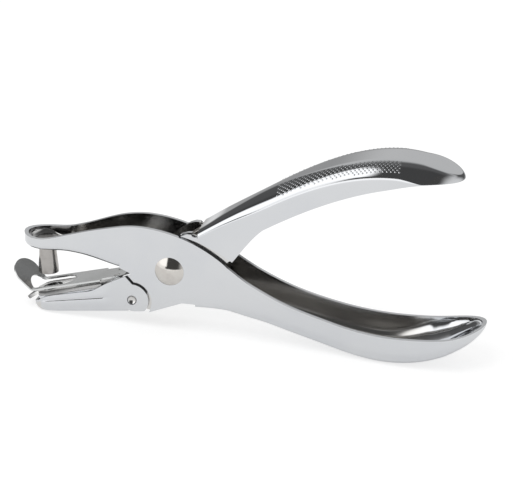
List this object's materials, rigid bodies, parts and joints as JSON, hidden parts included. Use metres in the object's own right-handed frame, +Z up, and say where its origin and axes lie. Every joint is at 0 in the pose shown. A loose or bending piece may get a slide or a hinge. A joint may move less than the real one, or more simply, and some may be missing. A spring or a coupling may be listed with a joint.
{
  "type": "single hole punch",
  "caption": "Plier-type hand punch: two crossing pressed-steel levers close a round punch through a slotted stripper into a die, with a hinged chip tray under the lower jaw.",
  "frame": {"origin": "on the floor under the middle of the tool's box, as it stands on its chip tray and lower handle", "axes": "+X along the tool from the jaws to the handles, +Y along the pivot, +Z up"},
  "size_m": [0.1396, 0.0196, 0.0607],
  "materials": {
    "chrome_plate": "polished chrome plate on pressed steel",
    "nickel_plate": "polished nickel plate, warmer than the chrome",
    "bright_steel": "bright turned steel",
    "spring_wire": "oiled spring wire",
    "tool_steel": "ground tool steel",
    "spring_strip": "grey spring strip, satin"
  },
  "bodies": {
    "outer": {"outer_lever": "chrome_plate", "punch_pin": "tool_steel", "pivot_rivet": "nickel_plate", "pivot_sleeve": "bright_steel", "handle_spring": "spring_wire"},
    "inner": {"inner_lever": "chrome_plate", "die_plate": "tool_steel", "paper_stop": "tool_steel", "stripper_plate": "spring_strip", "jaw_rivets": "bright_steel"},
    "tray": {"chip_tray": "chrome_plate"}
  },
  "joints": [
    {"name": "handle", "type": "hinge", "parent": "outer", "child": "inner", "pos_m": [-0.02223, 0, 0.01844], "axis": [0, 1, 0], "range_deg": [0, 8], "stiffness_Nm_per_rad": 2.5, "springref_deg": -8.59, "deforming": ["handle_spring"]},
    {"name": "tray", "type": "hinge", "parent": "inner", "child": "tray", "pos_m": [-0.03297, 0, 0.00773], "axis": [0, -1, 0], "range_deg": [0, 55]}
  ]
}
